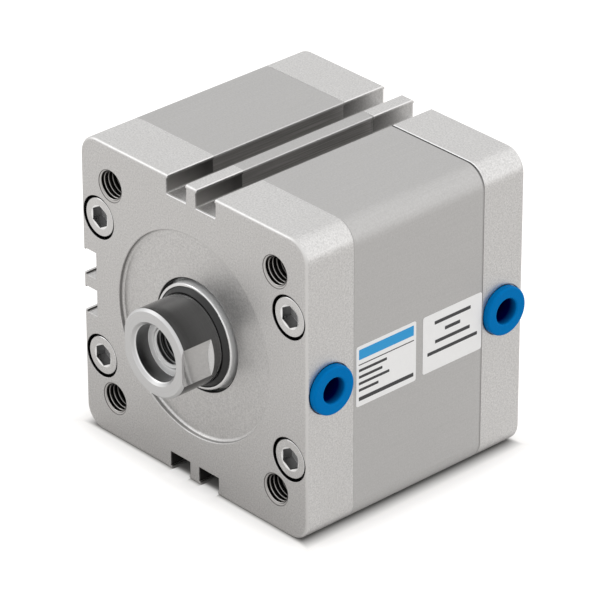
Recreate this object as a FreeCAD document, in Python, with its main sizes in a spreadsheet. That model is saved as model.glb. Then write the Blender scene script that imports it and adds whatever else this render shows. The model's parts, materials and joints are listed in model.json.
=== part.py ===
import FreeCAD, Part
import os
from types import SimpleNamespace

import Sketcher

# Compact double-acting pneumatic cylinder, in millimetres.
# The origin is the centre of the rod-side mounting face. The rod comes out along -Y,
# the body runs from Y = 0 to its length along +Y, the air ports face +X and +Z is up.

doc = FreeCAD.newDocument("compact_cylinder")

# Driving dimensions
DRIVING_DIMENSIONS = {
    # square body, split into front cap, barrel and rear cap
    "body_width": 77.5,
    "body_length": 68.0,
    "front_cap_depth": 14.3,
    "rear_cap_depth": 12.9,
    "corner_radius": 5.5,
    "end_edge_radius": 0.8,
    "seam_chamfer": 0.2,
    "bore_diameter": 63.0,
    "piston_stroke": 20.0,
    "stop_gap": 0.2,
    "spigot_depth": 3.0,
    # gaps of a press fit, a running fit, a seal's lip and a loose piece
    "press_gap": 0.02,
    "running_gap": 0.05,
    "lip_gap": 0.08,
    "loose_gap": 0.1,
    # pairs of sensor slots on the top, the left and the bottom
    "slot_width": 7.0,
    "slot_rib": 3.0,
    "slot_depth": 4.8,
    "slot_lip": 0.35,
    "slot_lip_depth": 0.9,
    "slot_edge": 0.2,
    # tapped mounting holes in both end faces
    "mount_pitch": 56.5,
    "mount_thread": 8.0,
    "mount_thread_depth": 10.0,
    "mount_countersink": 8.2,
    # cap screws
    "screw_spread_x": 65.4,
    "screw_spread_z": 36.8,
    "screw_thread": 6.0,
    "screw_clearance": 6.6,
    "screw_length": 20.0,
    "screw_head": 10.0,
    "screw_head_height": 6.0,
    "screw_head_edge": 0.3,
    "screw_hex": 5.0,
    "screw_hex_depth": 3.0,
    "screw_hex_lead": 6.2,
    "screw_recess": 11.0,
    "screw_recess_depth": 6.3,
    # round pilot recess with a cove around its floor
    "pilot_diameter": 52.0,
    "pilot_edge": 0.15,
    "pilot_depth": 1.3,
    "pilot_cove": 0.7,
    # rod
    "rod_diameter": 22.0,
    "rod_overhang": 12.0,
    "rod_edge": 0.6,
    "rod_flats": 19.8,
    "rod_flat_length": 8.9,
    "rod_thread": 10.0,
    "rod_thread_depth": 20.0,
    "rod_recess": 14.0,
    "rod_recess_depth": 4.6,
    "rod_recess_edge": 0.9,
    # wiper, its retainer, bush and lip seal around the rod
    "retainer_diameter": 27.7,
    "retainer_seat_edge": 0.35,
    "retainer_depth": 5.0,
    "retainer_groove_depth": 2.4,
    "retainer_collar": 26.1,
    "retainer_collar_height": 1.1,
    "retainer_collar_round": 0.45,
    "retainer_opening": 24.5,
    "retainer_opening_round": 0.15,
    "retainer_shelf": 2.0,
    "wiper_room": 0.5,
    "wiper_recess": 0.2,
    "wiper_reach": 0.7,
    "wiper_tip": 0.2,
    "wiper_land": 0.6,
    "bush_diameter": 26.0,
    "bush_length": 7.1,
    "seal_pocket_diameter": 30.0,
    "seal_room": 0.5,
    "seal_taper": 0.4,
    "seal_lip": 1.2,
    "seal_washer_thickness": 1.0,
    "seal_washer_room": 0.6,
    # rings that seal and cushion the end caps
    "ring_cord": 1.7,
    "ring_groove_width": 1.8,
    "ring_groove_depth": 1.95,
    "ring_groove_land": 0.4,
    "bumper_inner": 34.0,
    "bumper_outer": 42.0,
    "bumper_depth": 2.2,
    "bumper_stand": 0.12,
    "bumper_edge": 0.6,
    # piston
    "rod_spigot": 14.0,
    "disc_clearance": 0.3,
    "guide_band_width": 3.6,
    "hub_diameter": 44.0,
    "hub_groove_place": 2.5,
    "hub_groove_width": 2.0,
    "hub_groove_depth": 1.5,
    "hub_seal_cord": 1.4,
    "magnet_outer": 58.0,
    "piston_seal_depth": 5.2,
    "piston_seal_width": 3.0,
    "piston_seal_land": 1.4,
    "piston_seal_heel": 1.5,
    "piston_screw_thread": 8.0,
    "piston_screw_room": 0.2,
    "piston_screw_head": 13.0,
    "piston_screw_head_room": 0.5,
    "piston_screw_head_height": 4.8,
    "piston_screw_length": 14.0,
    "piston_screw_end_gap": 1.0,
    "piston_screw_hex": 5.0,
    # push-in tube ports
    "front_port_offset": 7.0,
    "rear_port_offset": 6.5,
    "tube_bore": 6.4,
    "sleeve_diameter": 10.8,
    "sleeve_bore": 8.76,
    "sleeve_length": 8.0,
    "sleeve_edge": 0.2,
    "collar_diameter": 12.2,
    "collar_thickness": 1.65,
    "collar_edge": 0.52,
    "collar_gap": 0.65,
    "collar_pocket_diameter": 12.7,
    "collar_pocket_depth": 0.7,
    "ring_sleeve_diameter": 8.6,
    "ring_sleeve_depth": 6.6,
    "ring_tip_length": 0.8,
    "ring_tip_taper": 0.7,
    "seal_chamber_diameter": 9.8,
    "seal_chamber_depth": 3.6,
    "grab_ring_thickness": 0.6,
    "grab_ring_rake": 0.5,
    "grab_ring_rim": 0.6,
    "grab_ring_slit": 0.7,
    "tube_seal_gap": 0.6,
    "tube_seal_edge": 0.8,
    "tube_seal_flare": 0.3,
    "tube_stop_depth": 14.6,
    "air_hole": 4.4,
    "air_passage": 4.0,
    "air_passage_offset": 24.0,
}

sheet = doc.addObject("Spreadsheet::Sheet", "Sizes")
for row, (alias, number) in enumerate(DRIVING_DIMENSIONS.items(), 1):
    sheet.set("A%d" % row, alias)
    sheet.set("B%d" % row, str(number))
    sheet.setAlias("B%d" % row, alias)
doc.recompute()


class Size:
    """A length in millimetres with the sheet expression that drives it."""

    def __init__(self, number, text):
        self.number = number
        self.text = text

    def __add__(self, other):
        other = as_size(other)
        return Size(self.number + other.number, "(%s + %s)" % (self.text, other.text))

    def __sub__(self, other):
        other = as_size(other)
        return Size(self.number - other.number, "(%s - %s)" % (self.text, other.text))

    def __mul__(self, factor):
        return Size(self.number * factor, "(%s * %s)" % (self.text, factor))

    def __truediv__(self, divisor):
        return self * (1 / divisor)

    def __neg__(self):
        return self * -1


def as_size(value):
    """A Size as it is, or a plain number as a Size with a constant expression."""
    if isinstance(value, Size):
        return value
    return Size(float(value), "%r" % float(value))


dim = SimpleNamespace(**{
    alias: Size(number, "Sizes." + alias) for alias, number in DRIVING_DIMENSIONS.items()
})

# Places along the rod axis and across the body that several pieces share
half_width = dim.body_width / 2
bore_radius = dim.bore_diameter / 2
rod_radius = dim.rod_diameter / 2
front_seam = dim.front_cap_depth
rear_seam = dim.body_length - dim.rear_cap_depth
front_spigot_end = front_seam + dim.spigot_depth
rear_spigot_end = rear_seam - dim.spigot_depth
spigot_radius = bore_radius - dim.running_gap
retainer_top = dim.pilot_depth - dim.retainer_collar_height
bush_start = dim.pilot_depth + dim.retainer_depth
seal_start = bush_start + dim.bush_length
piston_rear = rear_spigot_end - dim.stop_gap
piston_front = front_spigot_end + dim.stop_gap + dim.piston_stroke
piston_middle = (piston_front + piston_rear) / 2
disc_radius = bore_radius - dim.disc_clearance
rod_tip = -dim.rod_overhang
front_port_place = dim.front_port_offset
rear_port_place = dim.body_length - dim.rear_port_offset
lip_radius = rod_radius + dim.lip_gap
port_floor = half_width - dim.collar_pocket_depth

# How far a cut runs past the surface it starts from, and how close an edge is to a place to count
CUT_MARGIN = 1.0
SAME_PLACE = 0.01
# Height of a 118 degree drill point and of a socket's 150 degree lead-in, for each millimetre across
DRILL_POINT = 0.3
SOCKET_LEAD = 0.134
GRAB_RING_SLITS = 8

nodes = []


# Sketch and body helpers
def new_body(label):
    """An empty body whose label names its node."""
    body = doc.addObject("PartDesign::Body", label)
    body.Label = label
    return body


def origin_feature(body, role):
    """The body's own origin plane or axis with this role."""
    return [feature for feature in body.Origin.OriginFeatures if feature.Role == role][0]


def new_sketch(body, role, name, lift=None):
    """A sketch on one of the body's origin planes, lifted along the plane's normal."""
    sketch = body.newObject("Sketcher::SketchObject", name)
    sketch.AttachmentSupport = [(origin_feature(body, role), "")]
    sketch.MapMode = "FlatFace"
    if lift is not None:
        sketch.setExpression(".AttachmentOffset.Base.z", lift.text)
    return sketch


def cross_section(body, name, place):
    """A sketch across the rod axis at a place along Y: its axes are X and Z."""
    return new_sketch(body, "XZ_Plane", name, -as_size(place))


def bind(sketch, constraint, length):
    """Adds a dimension to the sketch and binds it to the sheet."""
    index = sketch.addConstraint(constraint)
    sketch.setExpression("Constraints[%d]" % index, length.text)


def pin(sketch, geometry, vertex, across, along):
    """Holds one sketch point at its two bound distances from the sketch's origin."""
    for kind, length, axis in (("DistanceX", across, -2), ("DistanceY", along, -1)):
        if abs(length.number) < 1e-9:
            sketch.addConstraint(Sketcher.Constraint("PointOnObject", geometry, vertex, axis))
        else:
            dimension = Sketcher.Constraint(kind, -1, 1, geometry, vertex, length.number)
            bind(sketch, dimension, length)


def draw_outline(sketch, corners):
    """A closed outline of straight edges through the corners."""
    corners = [(as_size(across), as_size(along)) for across, along in corners]
    points = [FreeCAD.Vector(across.number, along.number, 0) for across, along in corners]
    first = sketch.GeometryCount
    count = len(points)
    for i in range(count):
        sketch.addGeometry(Part.LineSegment(points[i], points[(i + 1) % count]))
    for i in range(count):
        joint = Sketcher.Constraint("Coincident", first + i, 2, first + (i + 1) % count, 1)
        sketch.addConstraint(joint)
    for i, (across, along) in enumerate(corners):
        pin(sketch, first + i, 1, across, along)


def draw_circle(sketch, across, along, radius):
    """A circle with a bound centre and radius."""
    across, along, radius = as_size(across), as_size(along), as_size(radius)
    centre = FreeCAD.Vector(across.number, along.number, 0)
    index = sketch.addGeometry(Part.Circle(centre, FreeCAD.Vector(0, 0, 1), radius.number))
    pin(sketch, index, 3, across, along)
    bind(sketch, Sketcher.Constraint("Radius", index, radius.number), radius)


def draw_four_circles(sketch, spread_x, spread_z, radius):
    """Four equal circles at the corners of a rectangle about the sketch's origin."""
    for side_x in (-0.5, 0.5):
        for side_z in (-0.5, 0.5):
            draw_circle(sketch, spread_x * side_x, spread_z * side_z, radius)


def pad(body, sketch, length, reverse=False):
    """Raises a sketch by a bound length."""
    feature = body.newObject("PartDesign::Pad", sketch.Name + "_pad")
    feature.Profile = sketch
    feature.setExpression("Length", length.text)
    feature.Reversed = reverse
    return feature


def pocket(body, sketch, length=None, reverse=False):
    """Cuts a sketch to a bound length, or right through where none is given."""
    feature = body.newObject("PartDesign::Pocket", sketch.Name + "_cut")
    feature.Profile = sketch
    if length is None:
        feature.Type = "ThroughAll"
    else:
        feature.setExpression("Length", length.text)
    feature.Reversed = reverse
    return feature


def spin(body, kind, sketch, axis):
    """A revolution or a groove of a sketch about one of its axes."""
    feature = body.newObject("PartDesign::" + kind, sketch.Name + "_spun")
    feature.Profile = sketch
    feature.ReferenceAxis = (sketch, [axis])
    feature.Angle = 360
    return feature


def drill(body, sketch, diameter, depth=None, reverse=False):
    """Round holes at the sketch's circles, to a depth with a drill point or right through."""
    doc.recompute()
    feature = body.newObject("PartDesign::Hole", sketch.Name + "_holes")
    feature.Profile = sketch
    feature.Threaded = False
    feature.setExpression("Diameter", diameter.text)
    if depth is None:
        feature.DepthType = "ThroughAll"
    else:
        feature.DepthType = "Dimension"
        feature.setExpression("Depth", depth.text)
    feature.Reversed = reverse
    return feature


def repeat_round(body, feature, axis_role, count, angle=360, reverse=False):
    """Repeats a feature about one of the body's own axes."""
    pattern = body.newObject("PartDesign::PolarPattern", feature.Name + "_round")
    pattern.Originals = [feature]
    pattern.Axis = (origin_feature(body, axis_role), [""])
    pattern.Angle = angle
    pattern.Occurrences = count
    pattern.Reversed = reverse
    body.Tip = pattern
    return pattern


def edges_where(feature, test):
    """The names of the feature's edges whose ends all pass the test."""
    doc.recompute()
    return ["Edge%d" % number for number, edge in enumerate(feature.Shape.Edges, 1)
            if all(test(vertex.Point) for vertex in edge.Vertexes)]


def soften(body, kind, feature, edges, size):
    """Rounds or chamfers the named edges of a feature."""
    softened = body.newObject("PartDesign::" + kind, feature.Name + "_" + kind.lower())
    softened.Base = (feature, edges)
    softened.setExpression("Radius" if kind == "Fillet" else "Size", size.text)
    return softened


def keep(sub_part):
    """Marks an object as a sub-part that is written out."""
    nodes.append(sub_part)
    return sub_part


def turned_piece(label, *outlines):
    """A piece turned about the rod axis from outlines of (radius, place along Y)."""
    body = new_body(label)
    sketch = new_sketch(body, "XY_Plane", label + "_section")
    for corners in outlines:
        draw_outline(sketch, corners)
    spin(body, "Revolution", sketch, "V_Axis")
    return body


def round_off(body, radius, place, size):
    """Rounds the round edge of a turned piece at this radius and place along Y."""
    feature = body.Tip
    rim = edges_where(feature, lambda point: abs(point.y - place.number) < SAME_PLACE
                      and abs((point.x ** 2 + point.z ** 2) ** 0.5 - radius.number) < SAME_PLACE)
    soften(body, "Fillet", feature, rim, size)


def round_ring(label, radius, place, cord_radius):
    """An O-ring about the rod axis."""
    body = new_body(label)
    sketch = new_sketch(body, "XY_Plane", label + "_section")
    draw_circle(sketch, radius, place, cord_radius)
    spin(body, "Revolution", sketch, "V_Axis")
    return body


def mirrored(name, source, normal, place=None):
    """A mirror image of an object, across a plane through the origin or at a place along Y."""
    image = doc.addObject("Part::Mirroring", name)
    image.Source = source
    image.Normal = normal
    if place is not None:
        image.setExpression(".Base.y", place.text)
    return image


# Housing
def square_block(body, start, depth, rounded_ends, seam_ends):
    """The body's square section with rounded corners, from a place along Y."""
    end = start + depth
    sketch = cross_section(body, body.Name + "_square", start)
    draw_outline(sketch, [
        (-half_width, -half_width), (half_width, -half_width),
        (half_width, half_width), (-half_width, half_width),
    ])
    block = pad(body, sketch, depth, reverse=True)
    middle = (start.number + end.number) / 2
    long_edges = [
        name for name in edges_where(block, lambda point: True)
        if abs(block.Shape.getElement(name).CenterOfMass.y - middle) < SAME_PLACE
    ]
    block = soften(body, "Fillet", block, long_edges, dim.corner_radius)
    for place in rounded_ends:
        rim = edges_where(block, lambda point: abs(point.y - place.number) < SAME_PLACE)
        block = soften(body, "Fillet", block, rim, dim.end_edge_radius)
    for place in seam_ends:
        rim = edges_where(block, lambda point: abs(point.y - place.number) < SAME_PLACE)
        block = soften(body, "Chamfer", block, rim, dim.seam_chamfer)
    return block


def cut_sensor_slots(body, start):
    """Pairs of lipped sensor slots along the top, the left side and the bottom, chamfered at the mouth."""
    sketch = cross_section(body, body.Name + "_slots", start)
    near = dim.slot_rib / 2
    far = near + dim.slot_width
    near_lip = near + dim.slot_lip
    far_lip = far - dim.slot_lip
    floor = half_width - dim.slot_depth
    shoulder = half_width - dim.slot_lip_depth
    chamfer = half_width - dim.slot_edge
    above = half_width + CUT_MARGIN
    flare = dim.slot_edge + CUT_MARGIN
    for side in (-1, 1):
        draw_outline(sketch, [(across * side, up) for across, up in (
            (near, floor), (far, floor), (far, shoulder), (far_lip, shoulder),
            (far_lip, chamfer), (far_lip + flare, above), (near_lip - flare, above),
            (near_lip, chamfer), (near_lip, shoulder), (near, shoulder),
        )])
    slots = pocket(body, sketch)
    repeat_round(body, slots, "Y_Axis", 3, angle=180, reverse=True)


def drill_mounting_holes(body, face, reverse):
    """Four countersunk holes for the mounting threads."""
    sketch = cross_section(body, body.Name + "_mount_places", face)
    draw_four_circles(sketch, dim.mount_pitch, dim.mount_pitch, dim.mount_thread / 2)
    holes = drill(body, sketch, dim.mount_thread, dim.mount_thread_depth, reverse)
    holes.DrillPoint = "Angled"
    holes.HoleCutType = "Countersink"
    holes.HoleCutCustomValues = True
    holes.setExpression("HoleCutDiameter", dim.mount_countersink.text)
    holes.HoleCutCountersinkAngle = 90


def drill_screw_holes(body, face, reverse):
    """Four counterbored holes for the cap screws."""
    sketch = cross_section(body, body.Name + "_screw_places", face)
    draw_four_circles(sketch, dim.screw_spread_x, dim.screw_spread_z, dim.screw_clearance / 2)
    holes = drill(body, sketch, dim.screw_clearance, None, reverse)
    holes.HoleCutType = "Counterbore"
    holes.HoleCutCustomValues = True
    holes.setExpression("HoleCutDiameter", dim.screw_recess.text)
    holes.setExpression("HoleCutDepth", dim.screw_recess_depth.text)


def cut_port(body, place, chamber_end, towards_rear):
    """The collar pocket and stepped port bore from the +X side, and the air hole to the chamber."""
    sketch = new_sketch(body, "XY_Plane", body.Name + "_port")
    mouth = half_width + CUT_MARGIN
    sleeve_end = half_width - dim.sleeve_length
    chamber = sleeve_end - dim.seal_chamber_depth
    stop = half_width - dim.tube_stop_depth
    air_radius = dim.air_hole / 2
    bottom = dim.air_passage_offset - air_radius
    draw_outline(sketch, [(across, place + radius) for across, radius in (
        (mouth, 0), (mouth, dim.collar_pocket_diameter / 2), (port_floor, dim.collar_pocket_diameter / 2),
        (port_floor, dim.sleeve_diameter / 2), (sleeve_end, dim.sleeve_diameter / 2),
        (sleeve_end, dim.seal_chamber_diameter / 2),
        (chamber, dim.seal_chamber_diameter / 2), (chamber, dim.tube_bore / 2),
        (stop, dim.tube_bore / 2), (stop, air_radius), (bottom, air_radius), (bottom, 0),
    )])
    axis = sketch.addGeometry(Part.LineSegment(
        FreeCAD.Vector(bottom.number, place.number, 0),
        FreeCAD.Vector(mouth.number, place.number, 0)), True)
    pin(sketch, axis, 1, bottom, place)
    pin(sketch, axis, 2, mouth, place)
    spin(body, "Groove", sketch, "Axis0")

    air = cross_section(body, body.Name + "_air", place)
    draw_circle(air, dim.air_passage_offset, 0, dim.air_passage / 2)
    reach = chamber_end - place if towards_rear else place - chamber_end
    pocket(body, air, reach + CUT_MARGIN, reverse=not towards_rear)


def ring_groove_outlines(inward_end, direction):
    """Outlines of the O-ring groove and the bumper groove near a spigot's end."""
    near = inward_end - dim.ring_groove_land * direction
    far = near - dim.ring_groove_width * direction
    bumper_floor = inward_end - dim.bumper_depth * direction
    beyond = inward_end + as_size(CUT_MARGIN) * direction
    outside = spigot_radius + CUT_MARGIN
    floor = spigot_radius - dim.ring_groove_depth
    return [
        [(floor, far), (outside, far), (outside, near), (floor, near)],
        [(dim.bumper_inner / 2, bumper_floor), (dim.bumper_outer / 2, bumper_floor),
         (dim.bumper_outer / 2, beyond), (dim.bumper_inner / 2, beyond)],
    ]


def make_front_cap():
    """The rod-side cap: pilot recess, stepped rod hole, spigot, port and mounting holes."""
    body = new_body("front_cap")
    square_block(body, as_size(0), dim.front_cap_depth, [as_size(0)], [])
    spigot = cross_section(body, "front_cap_spigot", front_seam)
    draw_circle(spigot, 0, 0, spigot_radius)
    pad(body, spigot, dim.spigot_depth, reverse=True)
    hole = new_sketch(body, "XY_Plane", "front_cap_rod_hole")
    outside = as_size(-CUT_MARGIN)
    inside = front_spigot_end + CUT_MARGIN
    pilot = dim.pilot_diameter / 2
    seat = dim.retainer_diameter / 2
    draw_outline(hole, [
        (0, outside), (pilot + dim.pilot_edge + CUT_MARGIN, outside), (pilot, dim.pilot_edge),
        (pilot, dim.pilot_depth), (seat + dim.retainer_seat_edge, dim.pilot_depth),
        (seat, dim.pilot_depth + dim.retainer_seat_edge),
        (seat, bush_start), (dim.bush_diameter / 2, bush_start),
        (dim.bush_diameter / 2, seal_start), (dim.seal_pocket_diameter / 2, seal_start),
        (dim.seal_pocket_diameter / 2, inside), (0, inside),
    ])
    for corners in ring_groove_outlines(front_spigot_end, 1):
        draw_outline(hole, corners)
    spin(body, "Groove", hole, "V_Axis")
    round_off(body, pilot, dim.pilot_depth, dim.pilot_cove)
    drill_mounting_holes(body, 0, reverse=False)
    drill_screw_holes(body, 0, reverse=False)
    cut_port(body, front_port_place, front_spigot_end, towards_rear=True)
    cut_sensor_slots(body, as_size(0))
    return keep(body)


def make_rear_cap():
    """The closed cap behind the barrel, with its spigot, port and mounting holes."""
    body = new_body("rear_cap")
    square_block(body, rear_seam, dim.rear_cap_depth, [dim.body_length], [])
    spigot = cross_section(body, "rear_cap_spigot", rear_spigot_end)
    draw_circle(spigot, 0, 0, spigot_radius)
    pad(body, spigot, dim.spigot_depth, reverse=True)
    grooves = new_sketch(body, "XY_Plane", "rear_cap_grooves")
    for corners in ring_groove_outlines(rear_spigot_end, -1):
        draw_outline(grooves, corners)
    spin(body, "Groove", grooves, "V_Axis")
    drill_mounting_holes(body, dim.body_length, reverse=True)
    drill_screw_holes(body, dim.body_length, reverse=True)
    cut_port(body, rear_port_place, rear_spigot_end, towards_rear=False)
    cut_sensor_slots(body, rear_seam)
    return keep(body)


def make_barrel():
    """The extruded tube between the caps, with its bore, screw channels and slots."""
    body = new_body("barrel")
    square_block(body, front_seam, rear_seam - front_seam, [], [front_seam, rear_seam])
    holes = cross_section(body, "barrel_bore", front_seam)
    draw_circle(holes, 0, 0, bore_radius)
    draw_four_circles(holes, dim.screw_spread_x, dim.screw_spread_z, dim.screw_thread / 2)
    pocket(body, holes)
    cut_sensor_slots(body, front_seam)
    return keep(body)


def hex_socket(body, name, place, across_flats, depth, towards_rear):
    """A hexagon socket cut into a screw head on the rod axis, along +Y or -Y."""
    sketch = cross_section(body, name, place)
    corner = across_flats * (1 / 3 ** 0.5)
    draw_outline(sketch, [
        (0, corner), (across_flats * -0.5, corner / 2), (across_flats * -0.5, corner * -0.5),
        (0, -corner), (across_flats / 2, corner * -0.5), (across_flats / 2, corner / 2),
    ])
    pocket(body, sketch, depth, reverse=not towards_rear)


def make_cap_screws():
    """Four socket head screws in the front cap, and their images in the rear cap."""
    head_top = dim.screw_recess_depth - dim.screw_head_height
    head_radius = dim.screw_head / 2
    shank_radius = dim.screw_thread / 2 - dim.running_gap
    shank_end = dim.screw_recess_depth + dim.screw_length
    lead_bottom = head_top + dim.screw_hex_lead * SOCKET_LEAD
    screw = turned_piece("cap_screw", [
        (0, lead_bottom), (dim.screw_hex_lead / 2, head_top), (head_radius - dim.screw_head_edge, head_top),
        (head_radius, head_top + dim.screw_head_edge), (head_radius, dim.screw_recess_depth),
        (shank_radius, dim.screw_recess_depth), (shank_radius, shank_end), (0, shank_end),
    ])
    hex_socket(screw, "cap_screw_hex", head_top, dim.screw_hex, dim.screw_hex_depth, True)
    screw.setExpression(".Placement.Base.x", (dim.screw_spread_x / 2).text)
    screw.setExpression(".Placement.Base.z", (dim.screw_spread_z / 2).text)
    lower = mirrored("lower_cap_screw", screw, FreeCAD.Vector(0, 0, 1))
    left = mirrored("left_cap_screw", screw, FreeCAD.Vector(1, 0, 0))
    lower_left = mirrored("lower_left_cap_screw", lower, FreeCAD.Vector(1, 0, 0))
    front = doc.addObject("Part::Compound", "front_cap_screws")
    front.Links = [screw, lower, left, lower_left]
    keep(front)
    keep(mirrored("rear_cap_screws", front, FreeCAD.Vector(0, 1, 0), dim.body_length / 2))


# Rod guide and seals
def make_wiper_retainer():
    """A polished ring with a sunken flange, and a collar with a rounded rim that stands around the rod."""
    outer = dim.retainer_diameter / 2 - dim.running_gap
    opening = dim.retainer_opening / 2
    collar = dim.retainer_collar / 2
    flange = dim.pilot_depth + dim.retainer_groove_depth
    shelf = bush_start - dim.retainer_shelf
    body = turned_piece("wiper_retainer", [
        (outer, flange), (collar, flange), (collar, retainer_top), (opening, retainer_top), (opening, shelf),
        (rod_radius + dim.wiper_room, shelf), (rod_radius + dim.wiper_room, bush_start), (outer, bush_start),
    ])
    round_off(body, collar, retainer_top, dim.retainer_collar_round)
    round_off(body, opening, retainer_top, dim.retainer_opening_round)
    keep(body)


def make_rod_wiper():
    """A rubber ring whose cone reaches out of the retainer and ends in a lip on the rod."""
    outer = dim.retainer_opening / 2 - dim.running_gap
    inner = rod_radius + dim.wiper_room
    back = bush_start - dim.retainer_shelf - dim.running_gap
    cone_foot = retainer_top + dim.wiper_recess
    tip = -dim.wiper_reach
    keep(turned_piece("rod_wiper", [
        (outer, back), (outer, cone_foot), (lip_radius + dim.wiper_tip, tip), (lip_radius, tip),
        (lip_radius, tip + dim.wiper_land), (inner, cone_foot + dim.wiper_land), (inner, back),
    ]))


def make_rod_guide():
    """Wiper in its polished retainer, bush, lip seal and the washer that holds the seal."""
    make_wiper_retainer()
    make_rod_wiper()
    bush_outer = dim.bush_diameter / 2 - dim.press_gap
    bush_inner = rod_radius + dim.running_gap
    keep(turned_piece("rod_bush", [
        (bush_inner, bush_start), (bush_outer, bush_start),
        (bush_outer, seal_start), (bush_inner, seal_start),
    ]))
    pocket_radius = dim.seal_pocket_diameter / 2 - dim.running_gap
    washer_start = front_spigot_end - dim.seal_washer_thickness
    seal_back = seal_start + dim.running_gap
    seal_open = washer_start - dim.running_gap
    keep(turned_piece("rod_seal", [
        (rod_radius + dim.seal_room, seal_back), (pocket_radius - dim.seal_taper, seal_back),
        (pocket_radius, seal_open), (pocket_radius - dim.seal_lip, seal_open),
        ((rod_radius + pocket_radius) / 2, seal_back + dim.seal_lip),
        (rod_radius + dim.seal_lip, seal_open), (lip_radius, seal_open),
    ]))
    washer_inner = rod_radius + dim.seal_washer_room
    keep(turned_piece("seal_washer", [
        (washer_inner, washer_start), (pocket_radius, washer_start),
        (pocket_radius, front_spigot_end), (washer_inner, front_spigot_end),
    ]))


def make_cap_rings():
    """The O-ring and the cushioning bumper on the spigot of each cap."""
    groove_floor = spigot_radius - dim.ring_groove_depth
    cord_radius = dim.ring_cord / 2
    ring_radius = groove_floor + cord_radius + dim.loose_gap
    for end, spigot_end, direction in (("front", front_spigot_end, 1), ("rear", rear_spigot_end, -1)):
        ring_place = spigot_end - (dim.ring_groove_width / 2 + dim.ring_groove_land) * direction
        keep(round_ring(end + "_barrel_seal", ring_radius, ring_place, cord_radius))
        inner = dim.bumper_inner / 2 + dim.running_gap
        outer = dim.bumper_outer / 2 - dim.running_gap
        floor = spigot_end - dim.bumper_depth * direction
        crown = spigot_end + dim.bumper_stand * direction
        shoulder = crown - dim.bumper_edge * direction
        keep(turned_piece(end + "_bumper", [
            (inner, floor), (outer, floor), (outer, shoulder), (outer - dim.bumper_edge, crown),
            (inner + dim.bumper_edge, crown), (inner, shoulder),
        ]))


# Piston and rod
def make_piston_rod():
    """The rod with its wrench flats, tapped end, and the spigot that carries the piston."""
    spigot = dim.rod_spigot / 2
    spigot_end = piston_middle - dim.stop_gap
    recess = dim.rod_recess / 2
    recess_end = rod_tip + dim.rod_recess_depth
    thread = dim.rod_thread / 2
    thread_end = recess_end + dim.rod_thread_depth
    drill_tip = thread_end + dim.rod_thread * DRILL_POINT
    tail_thread = dim.piston_screw_thread / 2
    tail_end = spigot_end - dim.piston_screw_length
    body = turned_piece("piston_rod", [
        (recess + dim.rod_recess_edge, rod_tip), (rod_radius - dim.rod_edge, rod_tip),
        (rod_radius, rod_tip + dim.rod_edge), (rod_radius, piston_front), (spigot, piston_front),
        (spigot, spigot_end), (tail_thread, spigot_end), (tail_thread, tail_end), (0, tail_end),
        (0, drill_tip), (thread, thread_end), (thread, recess_end + dim.rod_edge),
        (thread + dim.rod_edge, recess_end), (recess, recess_end), (recess, rod_tip + dim.rod_recess_edge),
    ])
    flats = cross_section(body, "rod_flats", rod_tip)
    flat = dim.rod_flats / 2
    beyond = rod_radius + CUT_MARGIN
    for side in (-1, 1):
        draw_outline(flats, [
            (flat * side, -beyond), (beyond * side, -beyond), (beyond * side, beyond), (flat * side, beyond),
        ])
    pocket(body, flats, dim.rod_flat_length)
    return keep(body)


def piston_disc_outline(outer_face, direction, bore, hub_end):
    """Half of a piston disc's section: rim with its seal groove, and the hub."""
    rim_end = piston_middle - dim.guide_band_width / 2 * direction
    groove_start = outer_face + dim.piston_seal_land * direction
    groove_end = groove_start + dim.piston_seal_width * direction
    groove_floor = disc_radius - dim.piston_seal_depth
    return [
        (bore, outer_face), (disc_radius, outer_face), (disc_radius, groove_start),
        (groove_floor, groove_start), (groove_floor, groove_end), (disc_radius, groove_end),
        (disc_radius, rim_end), (dim.hub_diameter / 2, rim_end), (dim.hub_diameter / 2, hub_end),
        (bore, hub_end),
    ]


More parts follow.
